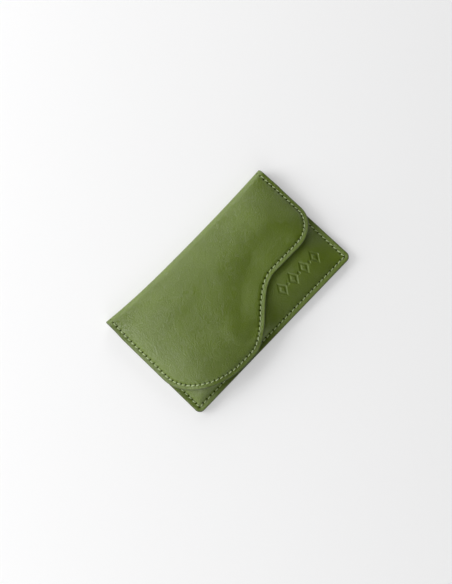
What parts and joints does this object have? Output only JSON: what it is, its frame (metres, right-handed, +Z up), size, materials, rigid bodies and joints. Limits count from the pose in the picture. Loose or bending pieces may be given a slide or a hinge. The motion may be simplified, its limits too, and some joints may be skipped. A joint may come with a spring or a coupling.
{
  "type": "card holder",
  "caption": "Flat leather card holder with a padded card pocket and a fold-over flap, whose free edge is a wave between round lobes and closes on a hidden magnet.",
  "frame": {"origin": "middle of the face that the closed holder rests on, the outside of the back panel", "axes": "+X along the fold, +Y from the sewn bottom edge to the fold, +Z up from the back panel to the flap"},
  "size_m": [0.111, 0.0654, 0.0093],
  "materials": {
    "leather": "semi-matt moss-green calf leather with a fine natural grain",
    "lining": "matt, thin split leather in the same green",
    "thread": "waxed pale grey-green sewing thread",
    "board": "bonded-leather stiffening board, hidden",
    "steel": "thin steel disc, hidden",
    "magnet": "nickel-plated disc magnet, hidden"
  },
  "bodies": {
    "pocket": {"back_panel": "leather", "back_lining": "lining", "card_divider": "lining", "front_lining": "lining", "front_panel": "leather", "front_keeper": "steel", "pocket_needle_thread": "thread", "pocket_bobbin_thread": "thread", "mouth_thread": "thread"},
    "fold": {"fold_leather": "leather", "fold_lining": "lining", "fold_thread": "thread"},
    "flap": {"flap_leather": "leather", "flap_lining": "lining", "flap_stiffener": "board", "flap_magnet": "magnet", "flap_needle_thread": "thread", "flap_bobbin_thread": "thread"}
  },
  "joints": [
    {"name": "fold_hinge", "type": "hinge", "parent": "pocket", "child": "fold", "pos_m": [0, 0.03171, 0.00079], "axis": [-1, 0, 0], "range_deg": [0, 86]},
    {"name": "flap_hinge", "type": "hinge", "parent": "fold", "child": "flap", "pos_m": [0, 0.03171, 0.00661], "axis": [-1, 0, 0], "range_deg": [0, 86]}
  ],
  "couplings": [
    {"joint": "flap_hinge", "follows": "fold_hinge", "ratio": 1}
  ]
}
